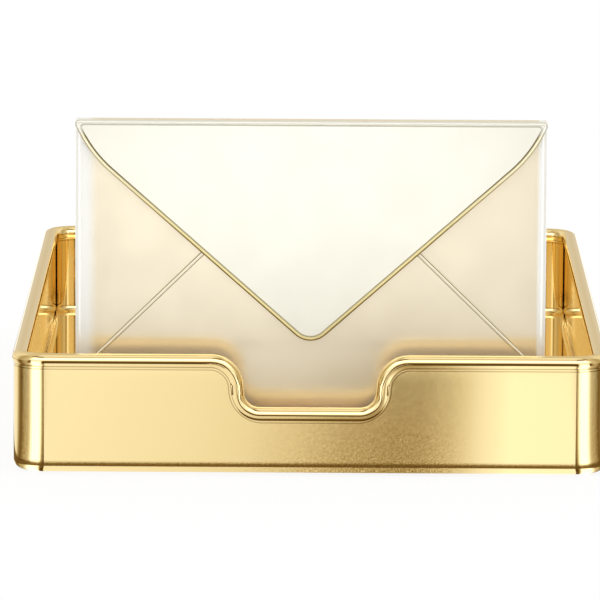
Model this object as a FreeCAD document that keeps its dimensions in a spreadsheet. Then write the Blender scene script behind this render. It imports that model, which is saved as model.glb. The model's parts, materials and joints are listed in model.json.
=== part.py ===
import FreeCAD, Part

import math
import os
import re

import Sketcher

# A desk letter tray of polished brass with one envelope standing in it.
#
# The tray is a double-skinned pan: an outer shell and an inner tray of thin sheet, joined at the
# top by a solid bead that follows the round corners and dips through a finger notch in front.
# Spacers hold the raised floor above the outer bottom. A low channel on the floor carries the
# envelope, which lifts out, and whose pointed top flap opens.
#
# Frame: millimetres, +Z up, desk at Z = 0, origin under the middle of the tray, front towards -Y.

Vector = FreeCAD.Vector

SIZES = {
    # tray, over the rim bead and from the desk
    "tray_width": 260.4,
    "tray_depth": 350.0,
    "tray_height": 53.5,
    "wall_thickness": 5.8,
    "corner_radius": 13.8,
    "sheet_thickness": 1.2,
    "bottom_round": 3.8,
    "floor_height": 12.1,
    "floor_cove": 2.6,
    # rim bead: a round rod with a hollow neck and a tongue that plugs in between the two skins
    "bead_radius": 3.5,
    "bead_neck_radius": 1.5,
    "seat_drop": 2.6,
    "tongue_depth": 3.0,
    "tongue_clearance": 0.1,
    # finger notch, measured on the bead's centre line
    "notch_width": 64.8,
    "notch_drop": 23.3,
    "notch_round": 10.4,
    "notch_slope": 85.0,
    "notch_lead": 2.0,
    # hexagonal spacers soldered between the two bottoms
    "spacer_width": 8.0,
    "spacer_inset_x": 32.0,
    "spacer_inset_y": 40.0,
    # felt feet
    "foot_diameter": 20.0,
    "foot_thickness": 1.0,
    "foot_inset": 26.0,
    # channel that the envelope stands in
    "rest_length": 150.0,
    "rest_front_lip": 10.0,
    "rest_back_lip": 24.0,
    "rest_clearance": 0.4,
    "rest_bend_radius": 1.0,
    "rest_corner_radius": 5.0,
    "rest_screw_spacing": 100.0,
    "rest_screw_diameter": 2.0,
    "rest_screw_head": 3.8,
    "rest_screw_length": 5.5,
    "nut_width": 4.0,
    "nut_thickness": 1.6,
    "thread_clearance": 0.05,
    "hole_clearance": 0.2,
    "countersink_clearance": 0.1,
    # envelope
    "envelope_width": 206.0,
    "envelope_height": 140.2,
    "envelope_gap": 17.0,
    "back_thickness": 1.0,
    "letter_space": 2.6,
    "side_flap_thickness": 0.9,
    "bottom_flap_thickness": 1.3,
    "top_strip_thickness": 1.3,
    "top_flap_thickness": 1.5,
    "flap_gap": 0.3,
    "front_fold_radius": 2.6,
    "back_fold_radius": 1.5,
    "fold_lip": 1.0,
    "top_edge_radius": 1.2,
    "flap_edge_radius": 1.4,
    "seam_edge_radius": 0.8,
    # pressed creases that leave a narrow roll along the edges of the flaps
    "flap_roll_width": 2.0,
    "flap_crease_width": 0.8,
    "flap_crease_depth": 0.4,
    "flap_crease_corner": 1.2,
    "seam_roll_width": 1.5,
    "seam_crease_width": 0.5,
    "seam_crease_depth": 0.25,
    # outline of the top flap
    "flap_corner_radius": 2.0,
    "flap_corner_angle": 63.5,
    "flap_shoulder_drop": 15.5,
    "flap_shoulder_radius": 58.0,
    "flap_apex_drop": 100.7,
    "flap_tip_radius": 10.0,
    # outline of the bottom flap
    "bottom_flap_inset": 3.6,
    "bottom_flap_shoulder": 31.4,
    "bottom_flap_shoulder_radius": 14.0,
    "bottom_flap_height": 98.7,
    "bottom_flap_top_width": 61.0,
    "bottom_flap_top_radius": 8.0,
    # outline of the side flaps
    "side_flap_reach": 65.0,
    "side_flap_tip_drop": 49.5,
    "side_flap_tip_width": 20.0,
    "side_flap_tip_radius": 5.0,
    "side_flap_lower_end": 10.7,
    "side_flap_upper_end": 4.0,
    # folded card in the envelope
    "letter_width": 196.0,
    "letter_height": 133.7,
    "letter_leaf": 0.9,
    "letter_clearance": 0.2,
}

# Places that several pieces share, written as expressions in the driving sizes.
PATH_X = "(tray_width / 2 - bead_radius)"
PATH_Y = "(tray_depth / 2 - bead_radius)"
PATH_CORNER = "(corner_radius - wall_thickness / 2)"
BEAD_Z = "(tray_height - bead_radius)"
WALL_TOP = f"({BEAD_Z} - seat_drop)"
OUTER_X = f"({PATH_X} + wall_thickness / 2)"
OUTER_Y = f"({PATH_Y} + wall_thickness / 2)"
INNER_Y = f"({PATH_Y} - wall_thickness / 2)"
LINER_X = f"({PATH_X} - wall_thickness / 2 + sheet_thickness)"
LINER_Y = f"({INNER_Y} + sheet_thickness)"
LINER_CORNER = "(corner_radius - wall_thickness + sheet_thickness)"
LINER_UNDER = "(floor_height - sheet_thickness)"
BASE_TOP = "(foot_thickness + sheet_thickness)"
TONGUE_HALF = "(wall_thickness / 2 - sheet_thickness - tongue_clearance)"
FLANK = "(notch_drop / 2 / tan(notch_slope))"
NOTCH_REACH = "(notch_round * tan(notch_slope / 2))"
NOTCH_END = f"(notch_width / 2 + {FLANK} + {NOTCH_REACH} + notch_lead)"

REST_TOP = "(floor_height + sheet_thickness)"
SHEET_SHOULDER = "(back_thickness + letter_space)"
SIDE_DEPTH = f"({SHEET_SHOULDER} + side_flap_thickness)"
FOLDED_DEPTH = f"({SIDE_DEPTH} + bottom_flap_thickness)"
ENVELOPE_FRONT = f"(-{INNER_Y} + envelope_gap)"
ENVELOPE_BACK = f"({ENVELOPE_FRONT} + {FOLDED_DEPTH})"
ENVELOPE_TOP = f"({REST_TOP} + envelope_height)"
STRIP_UNDER = f"({ENVELOPE_TOP} - top_strip_thickness)"
HALF_WIDTH = "(envelope_width / 2)"

TOLERANCE = 1e-4
EDGE_TOLERANCE = 1e-3
COUNTERSINK_ANGLE = 90.0
HALF_HEXAGON_CORNER = 30


# ---------------------------------------------------------------- helpers

doc = FreeCAD.newDocument("letter_tray")
sheet = doc.addObject("Spreadsheet::Sheet", "sizes")
for row, (alias, number) in enumerate(SIZES.items(), start=1):
    sheet.set(f"A{row}", alias)
    sheet.set(f"B{row}", str(number))
    sheet.setAlias(f"B{row}", alias)
doc.recompute()

sub_parts = []


def in_sheet(text):
    """Turn the bare names in an expression into references to the sheet's cells."""
    return re.sub(r"[a-z_]+", lambda m: f"sizes.{m[0]}" if m[0] in SIZES else m[0], text)


def value(text):
    """Work out an expression with the sheet's present numbers."""
    result = sheet.evalExpression(in_sheet(text))
    return float(getattr(result, "Value", result))


def bind(item, name, text):
    item.setExpression(name, in_sheet(text))


def new_body(label):
    body = doc.addObject("PartDesign::Body", label)
    body.Label = label
    sub_parts.append(body)
    return body


def new_sketch(body, name, plane_role, offset, shift_x="0", shift_y="0"):
    """Add a sketch parallel to one of the body's own planes, moved along the plane's normal."""
    plane = next(f for f in body.Origin.OriginFeatures if f.Role == plane_role)
    sketch = body.newObject("Sketcher::SketchObject", f"{body.Name}_{name}")
    sketch.AttachmentSupport = [(plane, "")]
    sketch.MapMode = "FlatFace"
    bind(sketch, "AttachmentOffset.Base.x", shift_x)
    bind(sketch, "AttachmentOffset.Base.y", shift_y)
    bind(sketch, "AttachmentOffset.Base.z", offset)
    return sketch


def plan_sketch(body, name, height):
    """Sketch seen from above: sketch x, y are X, Y."""
    return new_sketch(body, name, "XY_Plane", height)


def front_sketch(body, name, y_place):
    """Sketch seen from the front: sketch x, y are X, Z."""
    return new_sketch(body, name, "XZ_Plane", f"-({y_place})")


def side_sketch(body, name, x_place, shift_x="0", shift_y="0"):
    """Sketch seen from the side: sketch x, y are Y, Z."""
    return new_sketch(body, name, "YZ_Plane", x_place, shift_x, shift_y)


def drive(sketch, kind, *places, size):
    """Add a dimension that follows an expression."""
    index = sketch.addConstraint(Sketcher.Constraint(kind, *places, value(size)))
    sketch.setExpression(f"Constraints[{index}]", in_sheet(size))


def pin_point(sketch, geometry, end, x, y):
    drive(sketch, "DistanceX", -1, 1, geometry, end, size=x)
    drive(sketch, "DistanceY", -1, 1, geometry, end, size=y)


def round_corner(before, corner, after, radius):
    """Work out the arc that rounds a corner: its shape, its two ends and whether it turns left."""
    inward = (before - corner).normalize()
    outward = (after - corner).normalize()
    half_angle = inward.getAngle(outward) / 2
    reach = radius / math.tan(half_angle)
    centre = corner + (inward + outward).normalize() * (radius / math.sin(half_angle))
    entry = corner + inward * reach
    leave = corner + outward * reach
    turns_left = inward.cross(outward).z < 0
    first, last = (entry, leave) if turns_left else (leave, entry)
    angles = [math.atan2(end.y - centre.y, end.x - centre.x) for end in (first, last)]
    arc = Part.ArcOfCircle(Part.Circle(centre, Vector(0, 0, 1), radius), *angles)
    return arc, entry, leave, turns_left


def outline(sketch, corners, closed=True):
    """Draw straight runs through the corners, (x, y) or (x, y, radius), held by driving sizes."""
    count = len(corners)
    points = [Vector(value(corner[0]), value(corner[1]), 0) for corner in corners]
    rounds = {
        i: round_corner(points[i - 1], points[i], points[(i + 1) % count], value(corner[2]))
        for i, corner in enumerate(corners)
        if len(corner) > 2
    }
    runs = []
    for i in range(count if closed else count - 1):
        following = (i + 1) % count
        start = rounds[i][2] if i in rounds else points[i]
        end = rounds[following][1] if following in rounds else points[following]
        runs.append(sketch.addGeometry(Part.LineSegment(start, end), False))
    for i, corner in enumerate(corners):
        arriving = runs[i - 1] if closed or i > 0 else None
        leaving = runs[i] if i < len(runs) else None
        if i not in rounds:
            if arriving is None:
                pin_point(sketch, leaving, 1, corner[0], corner[1])
                continue
            if leaving is not None:
                sketch.addConstraint(Sketcher.Constraint("Coincident", arriving, 2, leaving, 1))
            pin_point(sketch, arriving, 2, corner[0], corner[1])
            continue
        arc_shape, _, _, turns_left = rounds[i]
        arc = sketch.addGeometry(arc_shape, False)
        arc_in, arc_out = (1, 2) if turns_left else (2, 1)
        vertex = sketch.addGeometry(Part.Point(points[i]), True)
        sketch.addConstraint(
            [
                Sketcher.Constraint("Tangent", arriving, 2, arc, arc_in),
                Sketcher.Constraint("Tangent", arc, arc_out, leaving, 1),
                Sketcher.Constraint("PointOnObject", vertex, 1, arriving),
                Sketcher.Constraint("PointOnObject", vertex, 1, leaving),
            ]
        )
        drive(sketch, "Radius", arc, size=corner[2])
        pin_point(sketch, vertex, 1, corner[0], corner[1])
    return sketch


def rectangle_corners(half_x, half_y, radius):
    return [
        (f"-{half_x}", f"-{half_y}", radius),
        (half_x, f"-{half_y}", radius),
        (half_x, half_y, radius),
        (f"-{half_x}", half_y, radius),
    ]


def heading(start, end):
    """Unit direction of the run from one corner to the next."""
    run = f"({end[0]} - {start[0]})"
    rise = f"({end[1]} - {start[1]})"
    length = f"sqrt({run} ^ 2 + {rise} ^ 2)"
    return f"({run} / {length})", f"({rise} / {length})"


def inset_corners(corners, distance):
    """Move every run of a closed anticlockwise outline inwards by one distance."""
    inner = []
    for i, corner in enumerate(corners):
        in_x, in_y = heading(corners[i - 1], corner)
        out_x, out_y = heading(corner, corners[(i + 1) % len(corners)])
        spread = f"(1 + {in_x} * {out_x} + {in_y} * {out_y})"
        x = f"({corner[0]} - {distance} * ({in_y} + {out_y}) / {spread})"
        y = f"({corner[1]} + {distance} * ({in_x} + {out_x}) / {spread})"
        inner.append((x, y, *(f"({radius} - {distance})" for radius in corner[2:])))
    return inner


def mirrored_outline(right_half):
    """Complete an outline from its right half, listed upwards, by its mirror image in x."""
    left_half = [(f"-({corner[0]})", *corner[1:]) for corner in reversed(right_half)]
    return right_half + left_half


def add_feature(body, kind, name, sketch, **properties):
    feature = body.newObject(f"PartDesign::{kind}", f"{body.Name}_{name}")
    feature.Profile = sketch
    for key, setting in properties.items():
        setattr(feature, key, setting)
    return feature


def pad(body, name, sketch, length, **properties):
    feature = add_feature(body, "Pad", name, sketch, **properties)
    bind(feature, "Length", length)
    doc.recompute()
    return feature


def pocket(body, name, sketch, length=None, **properties):
    """Cut a sketch out of the body, and make sure that the cut took something away."""
    volume_before = body.Shape.Volume
    feature = add_feature(body, "Pocket", name, sketch, **properties)
    if length is None:
        feature.Type = "ThroughAll"
    else:
        bind(feature, "Length", length)
    doc.recompute()
    if body.Shape.Volume > volume_before - TOLERANCE:
        raise RuntimeError(f"{feature.Name} cuts nothing")
    return feature


def sweep(body, name, profile, path, kind="AdditivePipe"):
    """Carry a profile along a path, to add a rod or to cut a groove."""
    feature = add_feature(body, kind, name, profile)
    feature.Spine = path
    doc.recompute()
    return feature


def edges_between(shape, low, high):
    """Names of the edges that lie inside a box given by two expression triples, None being open."""
    names = []
    bottoms = [None if text is None else value(text) - EDGE_TOLERANCE for text in low]
    tops = [None if text is None else value(text) + EDGE_TOLERANCE for text in high]
    for number, edge in enumerate(shape.Edges, start=1):
        box = edge.BoundBox
        spans = [(box.XMin, box.XMax), (box.YMin, box.YMax), (box.ZMin, box.ZMax)]
        if all(
            (bottom is None or span[0] >= bottom) and (top is None or span[1] <= top)
            for span, bottom, top in zip(spans, bottoms, tops)
        ):
            names.append(f"Edge{number}")
    return names


def fillet(body, name, base, edges, radius):
    feature = body.newObject("PartDesign::Fillet", f"{body.Name}_{name}")
    feature.Base = (base, edges)
    bind(feature, "Radius", radius)
    doc.recompute()
    return feature


def holes_sketch(body, name, height, centres, bore):
    """Sketch one circle of a given diameter at each (x, y) place."""
    sketch = plan_sketch(body, name, height)
    for x, y in centres:
        middle = Vector(value(x), value(y), 0)
        circle = sketch.addGeometry(Part.Circle(middle, Vector(0, 0, 1), value(bore) / 2), False)
        drive(sketch, "Diameter", circle, size=bore)
        pin_point(sketch, circle, 3, x, y)
    doc.recompute()
    return sketch


def countersunk_holes(body, name, sketch, bore, mouth):
    """Drill countersunk holes down through a sheet at a sketch's circles."""
    volume_before = body.Shape.Volume
    hole = add_feature(body, "Hole", name, sketch)
    hole.ThreadType = "None"
    hole.DepthType = "ThroughAll"
    bind(hole, "Diameter", bore)
    hole.HoleCutType = "Countersink"
    hole.HoleCutCustomValues = True
    bind(hole, "HoleCutDiameter", mouth)
    hole.HoleCutCountersinkAngle = COUNTERSINK_ANGLE
    doc.recompute()
    if body.Shape.Volume > volume_before - TOLERANCE:
        raise RuntimeError(f"{hole.Name} drills nothing")
    return hole


def primitive(kind, name, place, **sizes):
    """Add a Part primitive whose sizes and (x, y, z) place follow expressions."""
    item = doc.addObject(f"Part::{kind}", name)
    for key, text in sizes.items():
        bind(item, key, text)
    for axis, text in zip("xyz", place):
        bind(item, f"Placement.Base.{axis}", text)
    return item


def fused(name, *pieces):
    item = doc.addObject("Part::MultiFuse", name)
    item.Shapes = list(pieces)
    item.Refine = True
    return item


def cut(name, base, tool):
    item = doc.addObject("Part::Cut", name)
    item.Base = base
    item.Tool = tool
    return item


def group(label, pieces):
    """Put identical separate solids into one sub-part."""
    item = doc.addObject("Part::Compound", label)
    item.Links = pieces
    item.Label = label
    sub_parts.append(item)
    return item


# ---------------------------------------------------------------- places that repeat

SIDES = {"left": "-1", "right": "1"}
FOOT_ROWS = {"front": "-1", "back": "1"}
SPACER_ROWS = {"front": "-1", "middle": "0", "back": "1"}


def places(name, rows, inset_x, inset_y):
    """Label and (x, y) place of each of the pieces that stand in rows on both sides."""
    return {
        f"{name}_{row}_{side}": (
            f"{sign_x} * (tray_width / 2 - {inset_x})",
            f"{sign_y} * (tray_depth / 2 - {inset_y})",
        )
        for row, sign_y in rows.items()
        for side, sign_x in SIDES.items()
    }


REST_MIDDLE_Y = f"(({ENVELOPE_FRONT} + {ENVELOPE_BACK}) / 2)"
REST_SCREW_BORE = "(rest_screw_diameter + 2 * hole_clearance)"
rest_screw_places = [
    (f"{sign_x} * rest_screw_spacing / 2", REST_MIDDLE_Y) for sign_x in SIDES.values()
]


# ---------------------------------------------------------------- the two skins

def drawn_pan(label, half_x, half_y, corner, underside, outer_round):
    """A pan pressed from sheet: round corners, rounded bottom edge and one even thickness."""
    body = new_body(label)
    plan = plan_sketch(body, "plan", underside)
    outline(plan, rectangle_corners(half_x, half_y, corner))
    block = pad(body, "block", plan, f"{WALL_TOP} - {underside}")
    rim = edges_between(block.Shape, (None, None, underside), (None, None, underside))
    rounded = fillet(body, "bottom_edge", block, rim, outer_round)
    hollow_plan = plan_sketch(body, "hollow_plan", WALL_TOP)
    inner = [f"({size} - sheet_thickness)" for size in (half_x, half_y, corner)]
    outline(hollow_plan, rectangle_corners(*inner))
    hollow = pocket(
        body, "hollow", hollow_plan, f"{WALL_TOP} - {underside} - sheet_thickness"
    )
    floor = f"{underside} + sheet_thickness"
    corner_line = edges_between(hollow.Shape, (None, None, floor), (None, None, floor))
    fillet(body, "inner_edge", hollow, corner_line, f"{outer_round} - sheet_thickness")
    cut_notch(body)
    return body


def cut_notch(body):
    """Cut the finger notch out of the front wall, so that the bead's seat follows its path."""
    over = "seat_drop / sin(notch_slope)"
    upper_x = f"(notch_width / 2 + {over} + (notch_drop / 2 - seat_drop) / tan(notch_slope))"
    lower_x = f"(notch_width / 2 + {over} - (notch_drop / 2 + seat_drop) / tan(notch_slope))"
    far_x = f"({NOTCH_END} + seat_drop)"
    right_half = [
        (lower_x, f"{WALL_TOP} - notch_drop", "notch_round + seat_drop"),
        (upper_x, WALL_TOP, "notch_round - seat_drop"),
        (far_x, WALL_TOP),
        (far_x, f"{WALL_TOP} + seat_drop"),
    ]
    notch = front_sketch(body, "notch", "-tray_depth / 2")
    outline(notch, mirrored_outline(right_half))
    pocket(body, "notch_cut", notch, "bead_radius + wall_thickness")


outer_shell = drawn_pan(
    "outer_shell", OUTER_X, OUTER_Y, "corner_radius", "foot_thickness", "bottom_round"
)
inner_tray = drawn_pan(
    "inner_tray", LINER_X, LINER_Y, LINER_CORNER, LINER_UNDER, "floor_cove + sheet_thickness"
)
rest_holes = holes_sketch(
    inner_tray, "rest_holes", "floor_height", rest_screw_places, REST_SCREW_BORE
)
pocket(inner_tray, "rest_hole_cuts", rest_holes, "sheet_thickness")


# ---------------------------------------------------------------- rim bead

def bead_profile(body):
    """Section of the bead, centred on its path: rod, hollow necks, seat and tongue."""
    sketch = side_sketch(body, "profile", NOTCH_END, f"-{PATH_Y}", BEAD_Z)
    tongue_end = "-(seat_drop + tongue_depth)"
    seat_and_tongue = [
        ("-wall_thickness / 2", "-seat_drop"),
        (f"-{TONGUE_HALF}", "-seat_drop"),
        (f"-{TONGUE_HALF}", tongue_end),
        (TONGUE_HALF, tongue_end),
        (TONGUE_HALF, "-seat_drop"),
        ("wall_thickness / 2", "-seat_drop"),
    ]
    outline(sketch, seat_and_tongue, closed=False)
    first_run = 0
    last_run = len(seat_and_tongue) - 2
    wall_half = value("wall_thickness / 2")
    radius = value("bead_radius")
    neck = value("bead_neck_radius")
    neck_angle = math.acos((wall_half + neck) / (radius + neck))
    neck_z = -(radius + neck) * math.sin(neck_angle)
    up = Vector(0, 0, 1)
    rod_circle = Part.Circle(Vector(), up, radius)
    right_circle = Part.Circle(Vector(wall_half + neck, neck_z, 0), up, neck)
    left_circle = Part.Circle(Vector(-wall_half - neck, neck_z, 0), up, neck)
    rod = sketch.addGeometry(Part.ArcOfCircle(rod_circle, -neck_angle, math.pi + neck_angle), False)
    right_neck = sketch.addGeometry(
        Part.ArcOfCircle(right_circle, math.pi - neck_angle, math.pi), False
    )
    left_neck = sketch.addGeometry(Part.ArcOfCircle(left_circle, 0, neck_angle), False)
    left_side = sketch.addGeometry(
        Part.LineSegment(Vector(-wall_half, neck_z, 0), Vector(-wall_half, -value("seat_drop"), 0)),
        False,
    )
    right_side = sketch.addGeometry(
        Part.LineSegment(Vector(wall_half, -value("seat_drop"), 0), Vector(wall_half, neck_z, 0)),
        False,
    )
    sketch.addConstraint(
        [
            Sketcher.Constraint("Coincident", rod, 3, -1, 1),
            Sketcher.Constraint("Tangent", rod, 1, right_neck, 1),
            Sketcher.Constraint("Tangent", rod, 2, left_neck, 2),
            Sketcher.Constraint("Tangent", right_neck, 2, right_side, 2),
            Sketcher.Constraint("Tangent", left_neck, 1, left_side, 1),
            Sketcher.Constraint("Coincident", left_side, 2, first_run, 1),
            Sketcher.Constraint("Coincident", right_side, 1, last_run, 2),
            Sketcher.Constraint("Vertical", left_side),
            Sketcher.Constraint("Vertical", right_side),
        ]
    )
    drive(sketch, "Radius", rod, size="bead_radius")
    drive(sketch, "Radius", right_neck, size="bead_neck_radius")
    drive(sketch, "Radius", left_neck, size="bead_neck_radius")
    return sketch


rim_bead = new_body("rim_bead")
bead_section = bead_profile(rim_bead)
round_path = plan_sketch(rim_bead, "round_path", BEAD_Z)
outline(
    round_path,
    [
        (NOTCH_END, f"-{PATH_Y}"),
        (PATH_X, f"-{PATH_Y}", PATH_CORNER),
        (PATH_X, PATH_Y, PATH_CORNER),
        (f"-{PATH_X}", PATH_Y, PATH_CORNER),
        (f"-{PATH_X}", f"-{PATH_Y}", PATH_CORNER),
        (f"-{NOTCH_END}", f"-{PATH_Y}"),
    ],
    closed=False,
)
notch_path = front_sketch(rim_bead, "notch_path", f"-{PATH_Y}")
outline(
    notch_path,
    [
        (NOTCH_END, BEAD_Z),
        (f"(notch_width / 2 + {FLANK})", BEAD_Z, "notch_round"),
        (f"(notch_width / 2 - {FLANK})", f"({BEAD_Z} - notch_drop)", "notch_round"),
        (f"-(notch_width / 2 - {FLANK})", f"({BEAD_Z} - notch_drop)", "notch_round"),
        (f"-(notch_width / 2 + {FLANK})", BEAD_Z, "notch_round"),
        (f"-{NOTCH_END}", BEAD_Z),
    ],
    closed=False,
)
doc.recompute()
sweep(rim_bead, "round_sweep", bead_section, round_path)
sweep(rim_bead, "notch_sweep", bead_section, notch_path)


# ---------------------------------------------------------------- spacers and feet

def cylinder(name, place, radius, height):
    return primitive("Cylinder", name, place, Radius=radius, Height=height)


def hexagon(name, place, width, height):
    """A hexagonal bar of a given width across its flats."""
    circumradius = f"{width} / 2 / cos({HALF_HEXAGON_CORNER})"
    return primitive("Prism", name, place, Circumradius=circumradius, Height=height)


for label, place in places("floor_spacer", SPACER_ROWS, "spacer_inset_x", "spacer_inset_y").items():
    sub_parts.append(
        hexagon(label, (*place, BASE_TOP), "spacer_width", f"{LINER_UNDER} - {BASE_TOP}")
    )
for label, place in places("felt_foot", FOOT_ROWS, "foot_inset", "foot_inset").items():
    sub_parts.append(cylinder(label, (*place, "0"), "foot_diameter / 2", "foot_thickness"))


# ---------------------------------------------------------------- channel for the envelope

envelope_rest = new_body("envelope_rest")
slot_front = f"({ENVELOPE_FRONT} - rest_clearance)"
slot_back = f"({ENVELOPE_BACK} + rest_clearance)"
rest_front = f"({slot_front} - sheet_thickness)"
rest_back = f"({slot_back} + sheet_thickness)"
front_lip_top = f"({REST_TOP} + rest_front_lip)"
back_lip_top = f"({REST_TOP} + rest_back_lip)"
rest_section = side_sketch(envelope_rest, "section", "0")
outline(
    rest_section,
    [
        (rest_front, "floor_height", "rest_bend_radius + sheet_thickness"),
        (rest_back, "floor_height", "rest_bend_radius + sheet_thickness"),
        (rest_back, back_lip_top),
        (slot_back, back_lip_top),
        (slot_back, REST_TOP, "rest_bend_radius"),
        (slot_front, REST_TOP, "rest_bend_radius"),
        (slot_front, front_lip_top),
        (rest_front, front_lip_top),
    ],
)
bent_strip = pad(envelope_rest, "bent_strip", rest_section, "rest_length", SideType="Symmetric")
lip_corners = []
for lip_top in (front_lip_top, back_lip_top):
    for end_x in ("-rest_length / 2", "rest_length / 2"):
        lip_corners += edges_between(
            bent_strip.Shape, (end_x, None, lip_top), (end_x, None, lip_top)
        )
fillet(envelope_rest, "lip_corners", bent_strip, lip_corners, "rest_corner_radius")
countersunk_holes(
    envelope_rest,
    "screw_holes",
    holes_sketch(envelope_rest, "screw_places", REST_TOP, rest_screw_places, REST_SCREW_BORE),
    REST_SCREW_BORE,
    "rest_screw_head + 2 * countersink_clearance",
)

rest_screws = []
rest_nuts = []
for number, (x_place, y_place) in enumerate(rest_screw_places, start=1):
    head_depth = "(rest_screw_head - rest_screw_diameter) / 2"
    head = primitive(
        "Cone",
        f"rest_screw_{number}_head",
        (x_place, y_place, f"{REST_TOP} - {head_depth}"),
        Radius1="rest_screw_diameter / 2",
        Radius2="rest_screw_head / 2",
        Height=head_depth,
    )
    shank = cylinder(
        f"rest_screw_{number}_shank",
        (x_place, y_place, f"{REST_TOP} - rest_screw_length"),
        "rest_screw_diameter / 2",
        "rest_screw_length",
    )
    rest_screws.append(fused(f"rest_screw_{number}", head, shank))
    nut_place = (x_place, y_place, f"{LINER_UNDER} - nut_thickness")
    nut = hexagon(f"rest_nut_{number}_blank", nut_place, "nut_width", "nut_thickness")
    nut_bore = cylinder(
        f"rest_nut_{number}_bore",
        nut_place,
        "rest_screw_diameter / 2 + thread_clearance",
        "nut_thickness",
    )
    rest_nuts.append(cut(f"rest_nut_{number}", nut, nut_bore))
group("rest_screws", rest_screws)
group("rest_nuts", rest_nuts)


# ---------------------------------------------------------------- envelope

PANEL_X = f"({HALF_WIDTH} - back_fold_radius - fold_lip)"
PANEL_FOOT = f"({REST_TOP} + back_fold_radius + fold_lip)"
LETTER_BACK = f"({ENVELOPE_BACK} - back_thickness)"
LETTER_FRONT = f"({LETTER_BACK} - letter_space)"
SIDE_FRONT = f"({LETTER_FRONT} - side_flap_thickness)"
FLAP_BACK = f"({ENVELOPE_FRONT} - flap_gap)"


def front_rectangle(half_x, low, high):
    return [(f"-{half_x}", low), (half_x, low), (half_x, high), (f"-{half_x}", high)]


back_panel = new_body("envelope_back_panel")
panel_face = front_sketch(back_panel, "face", ENVELOPE_BACK)
outline(panel_face, front_rectangle(PANEL_X, PANEL_FOOT, STRIP_UNDER))
pad(back_panel, "panel", panel_face, "back_thickness")
strip_plan = plan_sketch(back_panel, "strip_plan", STRIP_UNDER)
outline(
    strip_plan,
    [
        (f"-{HALF_WIDTH}", ENVELOPE_FRONT, "top_edge_radius"),
        (HALF_WIDTH, ENVELOPE_FRONT, "top_edge_radius"),
        (HALF_WIDTH, ENVELOPE_BACK, "top_edge_radius"),
        (f"-{HALF_WIDTH}", ENVELOPE_BACK, "top_edge_radius"),
    ],
)
top_strip = pad(back_panel, "top_strip", strip_plan, "top_strip_thickness")
back_top_edge = edges_between(
    top_strip.Shape, (None, ENVELOPE_BACK, ENVELOPE_TOP), (None, ENVELOPE_BACK, ENVELOPE_TOP)
)
fillet(back_panel, "back_top_edge", top_strip, back_top_edge, "top_edge_radius")


def side_flap(side, sign):
    """Side flap: folded round the envelope's side edge, from a lip behind to a point in front."""
    body = new_body(f"envelope_side_flap_{side}")

    def placed(corners):
        return [(f"{sign} * {corner[0]}", *corner[1:]) for corner in corners]

    tip_x = f"({HALF_WIDTH} - side_flap_reach)"
    tip_top = f"({ENVELOPE_TOP} - side_flap_tip_drop)"
    tip_foot = f"({tip_top} - side_flap_tip_width)"
    lower_x = f"({HALF_WIDTH} - bottom_flap_inset)"
    face = front_sketch(body, "face", ENVELOPE_BACK)
    outline(
        face,
        placed(
            [
                (HALF_WIDTH, REST_TOP),
                (HALF_WIDTH, STRIP_UNDER),
                (f"({HALF_WIDTH} - side_flap_upper_end)", STRIP_UNDER),
                (tip_x, tip_top, "side_flap_tip_radius"),
                (tip_x, tip_foot, "side_flap_tip_radius"),
                (lower_x, f"({REST_TOP} + side_flap_lower_end)"),
                (lower_x, REST_TOP),
            ]
        ),
    )
    block = pad(body, "block", face, SIDE_DEPTH)
    wall_x = f"({HALF_WIDTH} - side_flap_thickness)"
    open_back = f"({ENVELOPE_BACK} + fold_lip)"
    inside = plan_sketch(body, "inside", REST_TOP)
    outline(
        inside,
        placed(
            [
                ("0", open_back),
                ("0", LETTER_FRONT),
                (wall_x, LETTER_FRONT, "front_fold_radius - side_flap_thickness"),
                (wall_x, LETTER_BACK, "back_fold_radius - back_thickness"),
                (PANEL_X, LETTER_BACK),
                (PANEL_X, open_back),
            ]
        ),
    )
    hollow = pocket(body, "hollow", inside, "envelope_height", Reversed=True)
    side_x = f"{sign} * {HALF_WIDTH}"
    front_edge = edges_between(
        hollow.Shape, (side_x, SIDE_FRONT, None), (side_x, SIDE_FRONT, None)
    )
    front_fold = fillet(body, "front_fold", hollow, front_edge, "front_fold_radius")
    back_edge = edges_between(
        front_fold.Shape, (side_x, ENVELOPE_BACK, None), (side_x, ENVELOPE_BACK, None)
    )
    fillet(body, "back_fold", front_fold, back_edge, "back_fold_radius")


for side, sign in SIDES.items():
    side_flap(side, sign)

bottom_flap = new_body("envelope_bottom_flap")
bottom_x = f"({HALF_WIDTH} - bottom_flap_inset)"
bottom_top = f"({REST_TOP} + bottom_flap_height)"
bottom_corners = mirrored_outline(
    [
        (bottom_x, REST_TOP),
        (bottom_x, f"({REST_TOP} + bottom_flap_shoulder)", "bottom_flap_shoulder_radius"),
        ("bottom_flap_top_width / 2", bottom_top, "bottom_flap_top_radius"),
    ]
)
bottom_face = front_sketch(bottom_flap, "face", ENVELOPE_BACK)
outline(bottom_face, bottom_corners)
pad(bottom_flap, "block", bottom_face, FOLDED_DEPTH)
bottom_inside = side_sketch(bottom_flap, "inside", "0")
web_top = f"({REST_TOP} + fold_lip)"
outline(
    bottom_inside,
    [
        (SIDE_FRONT, ENVELOPE_TOP),
        (SIDE_FRONT, web_top, "front_fold_radius - bottom_flap_thickness"),
        (LETTER_BACK, web_top, "back_fold_radius - fold_lip"),
        (LETTER_BACK, PANEL_FOOT),
        (f"({ENVELOPE_BACK} + fold_lip)", PANEL_FOOT),
        (f"({ENVELOPE_BACK} + fold_lip)", ENVELOPE_TOP),
    ],
)
bottom_hollow = pocket(
    bottom_flap, "hollow", bottom_inside, "envelope_width", SideType="Symmetric"
)
bottom_front_edge = edges_between(
    bottom_hollow.Shape, (None, ENVELOPE_FRONT, REST_TOP), (None, ENVELOPE_FRONT, REST_TOP)
)
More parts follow.
